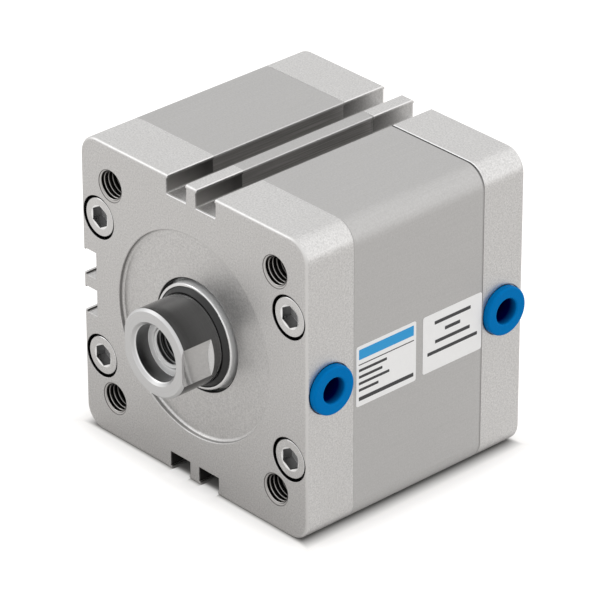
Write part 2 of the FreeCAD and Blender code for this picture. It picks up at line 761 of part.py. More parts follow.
def make_piston():
    """Two piston discs with magnet, guide band, lip seals, hub O-ring and clamping screw."""
    bore = dim.rod_spigot / 2 + dim.running_gap
    front = turned_piece("front_piston_disc", piston_disc_outline(piston_front, 1, bore, piston_middle))
    groove = new_sketch(front, "XY_Plane", "hub_seal_groove")
    groove_start = piston_front + dim.hub_groove_place
    groove_end = groove_start + dim.hub_groove_width
    groove_floor = bore + dim.hub_groove_depth
    draw_outline(groove, [
        (bore - CUT_MARGIN, groove_start), (groove_floor, groove_start),
        (groove_floor, groove_end), (bore - CUT_MARGIN, groove_end),
    ])
    spin(front, "Groove", groove, "V_Axis")
    keep(front)
    ring_radius = bore + dim.hub_groove_depth / 2
    keep(round_ring("piston_hub_seal", ring_radius, (groove_start + groove_end) / 2, dim.hub_seal_cord / 2))

    screw_bore = dim.piston_screw_thread / 2 + dim.piston_screw_room
    rear = turned_piece(
        "rear_piston_disc", piston_disc_outline(piston_rear, -1, screw_bore, piston_middle))
    head_seat = piston_rear - dim.piston_screw_head_height - dim.stop_gap
    recess = cross_section(rear, "piston_screw_recess", piston_rear)
    draw_circle(recess, 0, 0, dim.piston_screw_head / 2 + dim.piston_screw_head_room)
    pocket(rear, recess, piston_rear - head_seat, reverse=True)
    keep(rear)

    head_top = head_seat + dim.piston_screw_head_height
    head_radius = dim.piston_screw_head / 2
    shank_radius = dim.piston_screw_thread / 2 - dim.running_gap
    shank_end = piston_middle - dim.piston_screw_length + dim.piston_screw_end_gap
    screw = turned_piece("piston_screw", [
        (0, head_top), (head_radius - dim.screw_head_edge, head_top),
        (head_radius, head_top - dim.screw_head_edge), (head_radius, head_seat),
        (shank_radius, head_seat), (shank_radius, shank_end), (0, shank_end),
    ])
    hex_socket(screw, "piston_screw_hex", head_top, dim.piston_screw_hex, dim.screw_hex_depth, False)
    keep(screw)

    half_band = dim.guide_band_width / 2 - dim.loose_gap
    band_front = piston_middle - half_band
    band_rear = piston_middle + half_band
    magnet_radius = dim.magnet_outer / 2
    hub = dim.hub_diameter / 2 + dim.loose_gap
    for label, inner, outer in (
            ("piston_magnet", hub, magnet_radius),
            ("piston_guide_band", magnet_radius + dim.loose_gap * 2, bore_radius - dim.lip_gap)):
        keep(turned_piece(label, [
            (inner, band_front), (outer, band_front), (outer, band_rear), (inner, band_rear),
        ]))
    for end, face, direction in (("front", piston_front, 1), ("rear", piston_rear, -1)):
        make_piston_seal(end, face, direction)


def make_piston_seal(end, face, direction):
    """A lip seal in the groove of one piston disc, open towards its own chamber."""
    floor = disc_radius - dim.piston_seal_depth + dim.loose_gap
    wall = bore_radius - dim.lip_gap
    open_side = face + (dim.piston_seal_land + dim.loose_gap) * direction
    back = open_side + (dim.piston_seal_width - dim.loose_gap * 2) * direction
    heel = open_side + dim.piston_seal_heel * direction
    keep(turned_piece(end + "_piston_seal", [
        (floor, back), (disc_radius - dim.loose_gap * 2, back), (wall - dim.seal_taper, heel),
        (wall, open_side), (wall - dim.seal_lip, open_side), ((floor + wall) / 2, heel),
        (floor + dim.seal_lip, open_side), (floor, open_side),
    ]))


# Tube ports
def port_piece(label, place, corners):
    """A piece turned about a port's axis from an outline of (place along X, radius)."""
    body = new_body(label)
    sketch = new_sketch(body, "XY_Plane", label + "_section")
    draw_outline(sketch, corners)
    spin(body, "Revolution", sketch, "H_Axis")
    body.setExpression(".Placement.Base.y", place.text)
    return body


def make_port(end, place):
    """Sleeve, release ring, grab ring and tube seal of one push-in port."""
    tube = dim.tube_bore / 2
    sleeve_end = half_width - dim.sleeve_length
    sleeve_outer = dim.sleeve_diameter / 2 - dim.press_gap
    sleeve_inner = dim.sleeve_bore / 2
    chamfer = port_floor - dim.sleeve_edge
    keep(port_piece(end + "_port_sleeve", place, [
        (port_floor, sleeve_inner + dim.sleeve_edge), (port_floor, sleeve_outer - dim.sleeve_edge),
        (chamfer, sleeve_outer), (sleeve_end, sleeve_outer),
        (sleeve_end, sleeve_inner), (chamfer, sleeve_inner),
    ]))

    collar = dim.collar_diameter / 2
    collar_under = port_floor + dim.collar_gap
    collar_face = collar_under + dim.collar_thickness
    ring_outer = dim.ring_sleeve_diameter / 2
    ring_end = half_width - dim.ring_sleeve_depth
    ring = port_piece(end + "_release_ring", place, [
        (collar_face, tube), (collar_face, collar), (collar_under, collar), (collar_under, ring_outer),
        (ring_end + dim.ring_tip_length, ring_outer), (ring_end, ring_outer - dim.ring_tip_taper),
        (ring_end, tube),
    ])
    turned = ring.Tip
    rim = edges_where(turned, lambda point: abs(point.x - collar_face.number) < SAME_PLACE)
    soften(ring, "Fillet", turned, rim, dim.collar_edge)
    keep(ring)

    chamber = dim.seal_chamber_diameter / 2 - dim.running_gap
    grab_end = sleeve_end - dim.grab_ring_thickness
    grip = tube + dim.loose_gap
    grab = port_piece(end + "_grab_ring", place, [
        (sleeve_end, chamber), (grab_end, chamber),
        (grab_end - dim.grab_ring_rake, grip), (sleeve_end - dim.grab_ring_rake, grip),
    ])
    slit = new_sketch(grab, "YZ_Plane", end + "_grab_ring_slit", sleeve_end)
    half_slit = dim.grab_ring_slit / 2
    slit_end = chamber - dim.grab_ring_rim
    draw_outline(slit, [
        (tube - CUT_MARGIN, -half_slit), (slit_end, -half_slit),
        (slit_end, half_slit), (tube - CUT_MARGIN, half_slit),
    ])
    repeat_round(grab, pocket(grab, slit, dim.seal_chamber_depth), "X_Axis", GRAB_RING_SLITS)
    keep(grab)

    seal_front = grab_end - dim.tube_seal_gap
    seal_back = sleeve_end - dim.seal_chamber_depth + dim.running_gap
    seal_inner = tube + dim.running_gap
    flare = tube + dim.tube_seal_flare
    keep(port_piece(end + "_tube_seal", place, [
        (seal_front, chamber), (seal_back, chamber), (seal_back, flare),
        (seal_back + dim.tube_seal_edge, seal_inner), (seal_front - dim.tube_seal_edge, seal_inner),
        (seal_front, flare),
    ]))


def check_document():
    """Stops where a feature failed or a sub-part has no sound solid."""
    for item in doc.Objects:
        if "Invalid" in item.State or "Error" in item.State:
            raise RuntimeError("feature failed: %s %s" % (item.Name, item.State))
    for node in nodes:
        if node.Shape.isNull() or not node.Shape.isValid() or not node.Shape.Solids:
            raise RuntimeError("no sound solid: " + node.Label)


make_barrel()
make_front_cap()
make_rear_cap()
make_cap_screws()
make_rod_guide()
make_cap_rings()
make_piston_rod()
make_piston()
make_port("front", front_port_place)
make_port("rear", rear_port_place)
doc.recompute()
check_document()

os.makedirs("parts", exist_ok=True)
for node in nodes:
    node.Shape.exportStep("parts/%s.step" % node.Label)
    print("%-20s %9.1f mm3, %d solids" % (node.Label, node.Shape.Volume, len(node.Shape.Solids)))
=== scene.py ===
"""Studio picture of a compact pneumatic cylinder: finishes, threads, labels, light, floor and camera."""
import json
import math

import bpy
import numpy as np
from mathutils import Matrix, Vector


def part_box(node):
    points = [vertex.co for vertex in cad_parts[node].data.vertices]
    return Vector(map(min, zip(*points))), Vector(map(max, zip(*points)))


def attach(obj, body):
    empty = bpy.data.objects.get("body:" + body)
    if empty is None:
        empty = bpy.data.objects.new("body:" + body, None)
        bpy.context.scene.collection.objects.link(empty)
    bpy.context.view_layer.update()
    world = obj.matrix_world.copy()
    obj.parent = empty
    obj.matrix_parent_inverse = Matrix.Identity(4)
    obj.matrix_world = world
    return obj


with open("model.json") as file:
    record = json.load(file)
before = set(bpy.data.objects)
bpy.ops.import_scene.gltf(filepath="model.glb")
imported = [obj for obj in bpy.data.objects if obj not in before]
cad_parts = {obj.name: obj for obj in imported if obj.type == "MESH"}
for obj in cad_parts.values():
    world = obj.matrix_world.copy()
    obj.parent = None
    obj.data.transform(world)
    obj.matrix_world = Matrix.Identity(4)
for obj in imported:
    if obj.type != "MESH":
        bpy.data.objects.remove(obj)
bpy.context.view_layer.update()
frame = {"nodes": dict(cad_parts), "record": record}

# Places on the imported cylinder: the rod lies along Y, its end towards -Y, and the ports face +X
MM = 0.001
MOUNTS = {mount["name"]: mount for mount in frame["record"]["mounts"]}
BARREL_LOW, BARREL_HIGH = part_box("barrel")
SIDE_FACE = BARREL_HIGH.x
REAR_SEAM = BARREL_HIGH.y
FLOOR_HEIGHT = BARREL_LOW.z
BODY_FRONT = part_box("front_cap")[0].y
BODY_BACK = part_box("rear_cap")[1].y
BODY_MIDDLE = 0.5 * (BODY_FRONT + BODY_BACK)
BODY_HALF = BODY_BACK - BODY_MIDDLE
ROD_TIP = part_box("piston_rod")[0].y
RELEASE_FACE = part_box("front_release_ring")[1].x
FRONT_PORT = MOUNTS["front_tube"]["pos_m"][1]
REAR_PORT = MOUNTS["rear_tube"]["pos_m"][1]
TUBE_RADIUS = MOUNTS["front_tube"]["dims"]["r_mm"] * MM
MOUNT_HALF = 0.5 * MOUNTS["front_bolts"]["dims"]["spacing_x_mm"] * MM
MOUNT_RADIUS = MOUNTS["front_bolts"]["dims"]["hole_r_mm"] * MM

# Sizes of the solids that the finishes follow
CORNER_RADIUS = 5.5 * MM
EDGE_RADIUS = 0.8 * MM
ROD_RADIUS = 11.0 * MM
ROD_EDGE = 0.6 * MM
ROD_HALF_FLATS = 9.9 * MM
ROD_RECESS_RADIUS = 7.0 * MM
ROD_RECESS_DEPTH = 4.6 * MM
SLOT_DEPTH = 4.8 * MM
SLOT_PLACE = 5.0 * MM
SLOT_HALF = 3.15 * MM
SLOT_BEVEL = 0.2 * MM
PILOT_RADIUS = 26.0 * MM
PILOT_DEPTH = 1.3 * MM
RING_HOLE_RADIUS = 14.2 * MM
COLLAR_RADIUS = 13.05 * MM
SCREW_PLACE = (32.7 * MM, 18.4 * MM)
SCREW_HEAD_TOP = 0.3 * MM
SCREW_HEAD_RADIUS = 5.0 * MM
SCREW_RECESS_RADIUS = 5.5 * MM
SOCKET_DEPTH = 3.0 * MM

# Broken edges, painted highlights and painted shade: how wide or how deep each reaches, and how warm a
# clean grey and a warmer one are
EDGE_BREAK = 0.2 * MM
SILL_HEIGHT = 0.2 * MM
SILL_LENGTH = 0.4 * MM
SEAM_GAP = 0.65 * MM
SEAM_EDGE = 0.35 * MM
FRONT_SHADE_REACH = 12.0 * MM
THREAD_SHADE_DEPTH = 6.0 * MM
HOLE_SHADE_DEPTH = 2.4 * MM
CLEAN = 0.012
WARMER = 0.03

# Where the painted shade in the slots changes: heights below the top slots, and distances from the back
TOP_SHADE_ABOVE = 20.0 * MM
LOW_SHADE_BELOW = 10.0 * MM
REAR_FADE_START = 17.0 * MM
REAR_FADE_STOP = 2.0 * MM

# Values of a noise between which a finish changes from one tone to the other
GRAIN_SPREAD = (0.25, 0.75)
CLOUD_SPREAD = (0.3, 0.7)
STREAK_SPREAD = (0.2, 0.8)

# Screw threads: pitch and depth, and where the ridges of the mounting holes start below the mouth
MOUNT_PITCH = 1.25 * MM
MOUNT_THREAD_DEPTH = 10.0 * MM
MOUNT_MOUTH = 0.12 * MM
ROD_PITCH = 1.5 * MM
ROD_THREAD_DEPTH = 20.0 * MM

# Ridges: height, crest and lead as shares of the pitch, the gap to the wall, and the steps of the grid
THREAD_HEIGHT = 0.541
THREAD_CREST = 0.125
THREAD_LEAD = 0.15
THREAD_GAP = 0.012 * MM
STEPS_PER_TURN = 72
STEPS_PER_PITCH = 16

# Labels on the right side: start, end, bottom and top, then the corners and thickness of film and ink
FRONT_LABEL = (15.1 * MM, 33.8 * MM, -8.2 * MM, 7.4 * MM)
REAR_LABEL = (35.95 * MM, 54.75 * MM, -7.75 * MM, 7.2 * MM)
LABEL_CORNER = 0.6 * MM
LABEL_THICKNESS = 0.09 * MM
INK_THICKNESS = 0.02 * MM
INK_CORNER = 0.12 * MM
CORNER_STEPS = 7

# Printed bars in millimetres: start and end along the body, height of the middle, and width
FRONT_BAND = [(15.9, 33.0, 5.2, 2.6)]
FRONT_BARS = [
    (15.8, 33.1, 2.6, 0.26),
    (15.9, 24.6, 1.1, 0.7),
    (15.9, 23.2, -0.6, 0.7),
    (15.9, 25.4, -2.3, 0.7),
    (15.9, 22.0, -4.0, 0.7),
    (15.9, 33.0, -6.3, 1.0),
]
REAR_BARS = [
    (39.6, 51.1, 4.6, 0.9),
    (42.9, 47.8, 2.1, 0.9),
    (39.8, 50.9, -0.4, 0.9),
    (37.4, 53.3, -3.0, 0.9),
]

# Floor: half its width, and its glow by the body, farther out, and mirrored in the metal near and far
FLOOR_HALF = 6.0
GLOW_NEAR = 0.36
GLOW_FAR = 0.22
MIRRORED_NEAR = 0.30
MIRRORED_FAR = 0.15

# Painted shadow beside the body and at its ends: where it is darkest, where it turns soft, and where it
# ends
SIDE_SHADOW = (-3.0 * MM, 1.2 * MM, 7.0 * MM)
END_SHADOW = (-0.3 * MM, 0.9 * MM, 6.0 * MM)

# Distances out from the body over which the floor's tone turns from a painted shadow to pale, and its
# mirrored glow changes
PALE_SIDE = (-3.0 * MM, 1.0 * MM)
PALE_END = (-1.0 * MM, 0.5 * MM)
MIRRORED_SIDE = (3.0 * MM, 70.0 * MM)
MIRRORED_END = (-1.0 * MM, 50.0 * MM)
MIRRORED_FRONT = (BODY_FRONT - 5.0 * MM, BODY_FRONT + 5.0 * MM)

# Painted light on the floor in the bottom slots' mouths: how much farther out it counts, up to where, and
# its soft edge
MOUTH_LIGHT = 1.5 * MM
MOUTH_REACH = 4.0 * MM
MOUTH_SOFT = 0.4 * MM

# Lamps: place and size in metres, and brightness, where the studio around has 1
LAMPS = {
    "edge_box": ((0.49, 0.6, 0.66), 1.8, 0.28),
    "side_box": ((0.85, 0.62, 0.12), 0.35, 0.4),
    "front_box": ((-0.66, -0.45, 0.56), 0.4, 1.5),
}

# Camera: what it looks at, from where, its lens and sensor in millimetres, and how far it sees
VIEW_CENTRE = Vector((0.61, 32.85, -2.24)) * MM
VIEW_DISTANCE = 1094.0 * MM
VIEW_AZIMUTH = math.radians(47.556)
VIEW_ELEVATION = math.radians(28.723)
VIEW_ROLL = math.radians(-0.134)
VIEW_LENS = 280.71
VIEW_SENSOR = 36.0
VIEW_END = 20.0


# Shapes


def make_piece(name, points, faces, material, body, slot, smooth=True):
    """A mesh object at the origin from arrays of points and faces, which rides on one body."""
    mesh = bpy.data.meshes.new(name)
    mesh.from_pydata(points.reshape(-1, 3).tolist(), [], faces)
    mesh.polygons.foreach_set("use_smooth", np.full(len(mesh.polygons), smooth))
    mesh.materials.append(material)
    mesh.update()
    piece = bpy.data.objects.new(name, mesh)
    bpy.context.scene.collection.objects.link(piece)
    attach(piece, body)
    return piece


def grid_faces(rows, columns, close_rows, close_columns):
    """Four-sided faces between the neighbours of a grid whose points are numbered row by row."""
    row = np.arange(rows if close_rows else rows - 1)
    column = np.arange(columns if close_columns else columns - 1)
    row, column = np.meshgrid(row, column, indexing="ij")
    next_row = (row + 1) % rows
    next_column = (column + 1) % columns
    corners = np.stack([
        row * columns + column,
        row * columns + next_column,
        next_row * columns + next_column,
        next_row * columns + column,
    ], axis=-1)
    return corners.reshape(-1, 4).tolist()


def thread_sleeve(centre_x, centre_z, mouth, depth, outer_radius, pitch, into):
    """The ridges of an inside thread as a closed sleeve around the Y axis.

    The outer wall is a cylinder. The inner wall's radius is a triangle wave of the height along the
    axis less the share of a turn, cut off at the crest and the root, so it climbs one pitch a turn.
    It fades into the outer wall at both ends. into is +1 or -1, the way along Y.
    """
    turns = depth / pitch
    along = np.linspace(0.0, depth, int(turns * STEPS_PER_PITCH) + 1)
    angle = np.linspace(0.0, 2.0 * math.pi, STEPS_PER_TURN, endpoint=False)
    angle, along = np.meshgrid(angle, along, indexing="ij")
    phase = (along / pitch - into * angle / (2.0 * math.pi)) % 1.0
    ridge = 1.0 - np.abs(2.0 * phase - 1.0)
    ridge = np.clip((ridge - THREAD_CREST) / (1.0 - 3.0 * THREAD_CREST), 0.0, 1.0)
    fade = np.clip(np.minimum(along, depth - along) / (THREAD_LEAD * pitch), 0.0, 1.0)
    wall = outer_radius - THREAD_GAP
    inner = wall - THREAD_GAP - THREAD_HEIGHT * pitch * ridge * fade
    radius = np.concatenate([inner, np.full_like(inner, wall)[:, ::-1]], axis=1)
    height = np.concatenate([along, along[:, ::-1]], axis=1)
    around = np.concatenate([angle, angle], axis=1)
    points = np.stack([
        centre_x + radius * np.cos(around),
        mouth + into * height,
        centre_z + radius * np.sin(around),
    ], axis=-1)
    faces = grid_faces(points.shape[0], points.shape[1], True, True)
    if into < 0:
        faces = [face[::-1] for face in faces]
    return points.reshape(-1, 3), faces


def join_shapes(shapes):
    """Several pairs of points and faces as one, with the faces counted on."""
    points = np.concatenate([shape[0] for shape in shapes])
    starts = np.cumsum([0] + [len(shape[0]) for shape in shapes[:-1]])
    faces = []
    for shape, start in zip(shapes, starts):
        faces += [[int(corner + start) for corner in face] for face in shape[1]]
    return points, faces


def rounded_plate(start, end, bottom, top, base, thickness, corner):
    """A thin plate on a face that points to +X, with rounded corners.

    Its outline is a rectangle smaller by the corner radius, each of whose corners has a quarter
    circle added: a pair of signs picks the corner, and the cosine and sine of an angle round it.
    The outline is carried from the face to the top, where it is drawn in a little.
    """
    quarter = np.linspace(0.0, 0.5 * math.pi, CORNER_STEPS)
    angle = np.concatenate([quarter + turn * 0.5 * math.pi for turn in range(4)])
    side_y = np.repeat([1.0, -1.0, -1.0, 1.0], len(quarter))
    side_z = np.repeat([1.0, 1.0, -1.0, -1.0], len(quarter))
    bevel = 0.25 * thickness
    height = np.array([0.0, thickness - bevel, thickness])[:, None]
    drawn_in = np.array([0.0, 0.0, bevel])[:, None]
    half_y = 0.5 * (end - start) - corner
    half_z = 0.5 * (top - bottom) - corner
    y = 0.5 * (start + end) + side_y * half_y + (corner - drawn_in) * np.cos(angle)
    z = 0.5 * (bottom + top) + side_z * half_z + (corner - drawn_in) * np.sin(angle)
    x = np.broadcast_to(base + height, y.shape)
    points = np.stack([x, y, z], axis=-1)
    rings, count = x.shape
    faces = grid_faces(rings, count, False, True)
    faces.append(list(range(count))[::-1])
    faces.append(list(range((rings - 1) * count, rings * count)))
    return points.reshape(-1, 3), faces


# Tools for the finishes


class Finish:
    """A material whose nodes read Object coordinates, in metres, and the way that the surface faces."""

    def __init__(self, name):
        self.material = bpy.data.materials.new(name)
        self.material.use_nodes = True
        self.tree = self.material.node_tree
        self.shader = self.tree.nodes["Principled BSDF"]
        coordinates = self.add("ShaderNodeTexCoord").outputs
        self.place = coordinates["Object"]
        self.outward = coordinates["Normal"]
        self.x, self.y, self.z = self.parts(self.place)

    def add(self, kind, inputs=None, **settings):
        """A new node with its settings, and its inputs set to a value or linked to a socket."""
        node = self.tree.nodes.new(kind)
        for name, value in settings.items():
            setattr(node, name, value)
        for key, value in (inputs or {}).items():
            self.fill(node.inputs[key], value)
        return node

    def fill(self, socket, value):
        """Links the socket to another one, or sets it to a value."""
        if isinstance(value, bpy.types.NodeSocket):
            self.tree.links.new(value, socket)
        else:
            socket.default_value = value

    def parts(self, vector):
        """The X, Y and Z of a vector."""
        return self.add("ShaderNodeSeparateXYZ", {0: vector}).outputs

    def sums(self, operation, first, second=0.0):
        """One step of arithmetic on two values."""
        return self.add("ShaderNodeMath", {0: first, 1: second}, operation=operation).outputs[0]

    def vectors(self, operation, first, second=(0.0, 0.0, 0.0)):
        """One step of arithmetic on two vectors."""
        return self.add("ShaderNodeVectorMath", {0: first, 1: second}, operation=operation).outputs[0]

    def product(self, first, *others):
        """The product of several shares, 1 only where all are 1."""
        for other in others:
            first = self.sums("MULTIPLY", first, other)
        return first

    def largest(self, first, *others):
        """The largest of several values."""
        for other in others:
            first = self.sums("MAXIMUM", first, other)
        return first

    def apart(self, value, place):
        """How far a value is from a place, either way."""
        return self.sums("ABSOLUTE", self.sums("SUBTRACT", value, place))

    def ramp(self, value, start, stop, low, high):
        """Low where value is at start, high where it is at stop, and even steps between."""
        inputs = {"Value": value, "From Min": start, "From Max": stop, "To Min": low, "To Max": high}
        return self.add("ShaderNodeMapRange", inputs).outputs[0]

    def rise(self, value, start, stop):
        """A share of 0 up to start and 1 from stop on."""
        return self.ramp(value, start, stop, 0.0, 1.0)

    def fall(self, value, start, stop):
        """A share of 1 up to start and 0 from stop on."""
        return self.ramp(value, start, stop, 1.0, 0.0)

    def blend(self, share, first, second):
        """The first colour where share is 0, the second where it is 1."""
        inputs = {0: share, 6: first, 7: second}
        return self.add("ShaderNodeMix", inputs, data_type="RGBA").outputs[2]

    def layers(self, tone, *coats):
        """Colours laid over a tone one after the other, each with its share."""
        for share, colour in coats:
            tone = self.blend(share, tone, colour)
        return tone

    def beyond(self, half_x, half_z):
        """How far each point lies out from the middle past two distances, the same on all four sides."""
        return self.vectors("SUBTRACT", self.vectors("ABSOLUTE", self.place), (half_x, 0.0, half_z))

    def across(self, vector):
        """The length of a vector without its part along Y."""
        flat = self.vectors("MULTIPLY", vector, (1.0, 0.0, 1.0))
        return self.add("ShaderNodeVectorMath", {0: flat}, operation="LENGTH").outputs["Value"]

    def from_axis(self, half_x=0.0, half_z=0.0):
        """How far each point is from the rod's axis, or from the nearest of four axes around it."""
        return self.across(self.beyond(half_x, half_z))

    def from_side(self):
        """How deep each point is behind the body's sides and their rounded corners."""
        start = SIDE_FACE - CORNER_RADIUS
        corner = self.vectors("MAXIMUM", self.beyond(start, start))
        return self.sums("SUBTRACT", CORNER_RADIUS, self.across(corner))

    def from_end_face(self):
        """How deep each point is behind the nearer of the body's two end faces."""
        return self.sums("SUBTRACT", BODY_HALF, self.apart(self.y, BODY_MIDDLE))

    def from_slot(self):
        """How far left or right each point is from the middle of the nearer top or bottom slot."""
        return self.apart(self.sums("ABSOLUTE", self.x), SLOT_PLACE)

    def noise(self, size, detail=2.0, stretch=(1.0, 1.0, 1.0)):
        """Noise from 0 to 1 whose spots are about that size, drawn out along the axes by stretch."""
        scale = [1.0 / (size * factor) for factor in stretch]
        place = self.add("ShaderNodeMapping", {"Vector": self.place, "Scale": scale}).outputs[0]
        return self.add("ShaderNodeTexNoise", {"Vector": place, "Scale": 1.0, "Detail": detail}).outputs[0]

    def tool_rings(self, spacing):
        """Noise from 0 to 1 in rings around the rod's axis, as a turning tool leaves them."""
        place = self.add("ShaderNodeCombineXYZ", {0: self.from_axis(), 1: self.y}).outputs[0]
        path = {"Vector": place, "Scale": 1.0 / spacing, "Detail": 2.0}
        return self.rise(self.add("ShaderNodeTexNoise", path).outputs[0], *CLOUD_SPREAD)

    def bump(self, height, depth, edge=0.0):
        """Raises the surface by depth where height is 1, and breaks its sharp edges over a width."""
        node = self.add("ShaderNodeBump", {"Height": height, "Strength": 1.0, "Distance": depth})
        if edge:
            broken = self.add("ShaderNodeBevel", {"Radius": edge}, samples=8)
            self.fill(node.inputs["Normal"], broken.outputs[0])
        self.fill(self.shader.inputs["Normal"], node.outputs[0])

    def shade(self, **values):
        """Sets or links the shader's inputs, named with underscores for spaces."""
        for key, value in values.items():
            self.fill(self.shader.inputs[key.replace("_", " ")], value)
        return self.material


def grey(level, warm=0.0):
    """A grey, a little yellower for a positive warm."""
    return (level * (1.0 + warm), level, level * (1.0 - warm), 1.0)


# Places on the caps and the barrel that get painted shade or painted highlights


def slot_shade(finish):
    """Painted shade, from 0 on open faces to 1 on the walls of the slots and the bores, with little where
    they face up.

    There is none on the slot floors, and it thins out towards the back.
    """
    depth = finish.from_side()
    upward = finish.parts(finish.outward)[2]
    return finish.product(
        finish.rise(depth, 0.2 * MM, 0.8 * MM),
        finish.rise(finish.apart(depth, SLOT_DEPTH), 0.05 * MM, 0.5 * MM),
        finish.rise(finish.from_end_face(), 0.1 * MM, 0.5 * MM),
        finish.rise(finish.from_axis(), PILOT_RADIUS, PILOT_RADIUS + 1.0 * MM),
        finish.ramp(finish.y, BODY_BACK - REAR_FADE_START, BODY_BACK - REAR_FADE_STOP, 1.0, 0.25),
        finish.ramp(upward, 0.3, 0.8, 1.0, 0.1),
    )


def slot_edges(finish):
    """1 on the bevelled mouths of the slots, where a lighter tone is painted as a highlight, 0 elsewhere.
    """
    depth = finish.from_side()
    return finish.product(
        finish.rise(depth, 0.02 * MM, 0.06 * MM),
        finish.fall(depth, SLOT_BEVEL, SLOT_BEVEL + 0.1 * MM),
        finish.rise(finish.from_end_face(), EDGE_RADIUS, EDGE_RADIUS + 0.1 * MM),
    )


def sill_highlights(finish):
    """1 on the ends of the top slots' floors, where a white highlight is painted, 0 elsewhere."""
    below = finish.sums("SUBTRACT", SIDE_FACE - SLOT_DEPTH, finish.z)
    return finish.product(
        finish.rise(below, -0.06 * MM, -0.02 * MM),
        finish.fall(below, SILL_HEIGHT, SILL_HEIGHT + 0.1 * MM),
        finish.fall(finish.from_slot(), SLOT_HALF, SLOT_HALF + 0.3 * MM),
        finish.fall(finish.from_end_face(), SILL_LENGTH, SILL_LENGTH + 0.2 * MM),
    )


def rear_seam(finish, width, fade, side_share):
    """Painted shade and highlight at the rear seam: 1 on top, fading to a share down the port side, 0 on
    the left.
    """
    return finish.product(
        finish.fall(finish.apart(finish.y, REAR_SEAM), 0.7 * width, width),
        finish.rise(finish.x, 0.0, SLOT_PLACE),
        finish.ramp(finish.z, SIDE_FACE - fade, SIDE_FACE, side_share, 1.0),
    )


def rounded_edges(finish):
    """1 on the rounded edges around the end faces, where a lighter tone is painted as a highlight, 0
    elsewhere.
    """
    shares = []
    for depth in (finish.from_end_face(), finish.from_side()):
        shares.append(finish.rise(depth, 0.02 * MM, 0.1 * MM))
        shares.append(finish.fall(depth, EDGE_RADIUS, EDGE_RADIUS + 0.15 * MM))
    return finish.product(*shares)


def screw_recesses(finish):
    """1 on the walls around the screw heads, where shade is painted nearly black, 0 elsewhere."""
    span = finish.from_axis(*SCREW_PLACE)
    near = finish.fall(span, SCREW_RECESS_RADIUS + 0.04 * MM, SCREW_RECESS_RADIUS + 0.1 * MM)
    return finish.product(near, finish.rise(finish.from_end_face(), 0.03 * MM, 0.3 * MM))


def mount_mouths(finish):
    """1 on the broken edges around the tapped holes and inside them, where shade is painted, 0 elsewhere.
    """
    span = finish.from_axis(MOUNT_HALF, MOUNT_HALF)
    return finish.fall(span, MOUNT_RADIUS + 0.1 * MM, MOUNT_RADIUS + 0.18 * MM)


def ring_groove(finish):
    """1 on the wall of the hole around the polished ring, where shade is painted nearly black, 0
    elsewhere.
    """
    near = finish.fall(finish.from_axis(), RING_HOLE_RADIUS, RING_HOLE_RADIUS + 0.06 * MM)
    depth = finish.sums("SUBTRACT", finish.from_end_face(), PILOT_DEPTH)
    return finish.product(near, finish.rise(depth, 0.02 * MM, 0.15 * MM))


def pilot_wall(finish):
    """1 on the wall around the pilot recess, where shade is painted, 0 elsewhere."""
    near = finish.fall(finish.apart(finish.from_axis(), PILOT_RADIUS), 0.03 * MM, 0.1 * MM)
    return finish.product(near, finish.rise(finish.from_end_face(), 0.1 * MM, 0.3 * MM))


# Finishes


def cap_slot_shade(finish):
    """Painted shade for the walls in the caps: nearly black, and grey at the front ends of the top slots.
    """
    inward = finish.rise(finish.y, BODY_FRONT, BODY_FRONT + FRONT_SHADE_REACH)
    low = finish.ramp(finish.z, TOP_SHADE_ABOVE, LOW_SHADE_BELOW, 0.0, 0.9)
    return finish.blend(finish.largest(inward, low), grey(0.34, WARMER), grey(0.08, WARMER))


def blasted_aluminium():
    """Caps: bead blasted and clear anodised, with a fine grain, painted highlights on edges, painted shade
    in the slots.
    """
    finish = Finish("blasted_aluminium")
    grain = finish.noise(0.4 * MM, 3.0)
    cloud = finish.noise(9.0 * MM, 2.0)
    seam_highlight = rear_seam(finish, SEAM_EDGE, 0.25 * CORNER_RADIUS, 0.0)
    tone = finish.layers(
        grey(0.48, CLEAN),
        (finish.rise(grain, *GRAIN_SPREAD), grey(0.74, CLEAN)),
        (finish.ramp(cloud, *CLOUD_SPREAD, 0.0, 0.25), grey(0.57, 0.02)),
        # Painted highlight: a lighter tone on the rounded edges around the end faces
        (rounded_edges(finish), grey(0.70, CLEAN)),
        # Painted shade on the walls of the slots and the bores
        (slot_shade(finish), cap_slot_shade(finish)),
        # Painted highlights, white: on the ends of the top slots' floors and on the rear cap's edge at the
        # seam
        (finish.largest(sill_highlights(finish), seam_highlight), grey(1.0)),
        # Painted highlight on the slots' bevelled mouths
        (slot_edges(finish), grey(0.74, CLEAN)),
        # Painted shade on the pilot recess's wall
        (pilot_wall(finish), grey(0.36, CLEAN)),
        # Painted shade in and around the tapped holes
        (mount_mouths(finish), grey(0.15, WARMER)),
        # Painted shade, nearly black, around the screw heads and the ring
        (finish.largest(screw_recesses(finish), ring_groove(finish)), grey(0.03)),
    )
    finish.bump(grain, 0.007 * MM, EDGE_BREAK)
    roughness = finish.ramp(grain, *GRAIN_SPREAD, 0.36, 0.46)
    return finish.shade(Base_Color=tone, Metallic=1.0, Roughness=roughness)


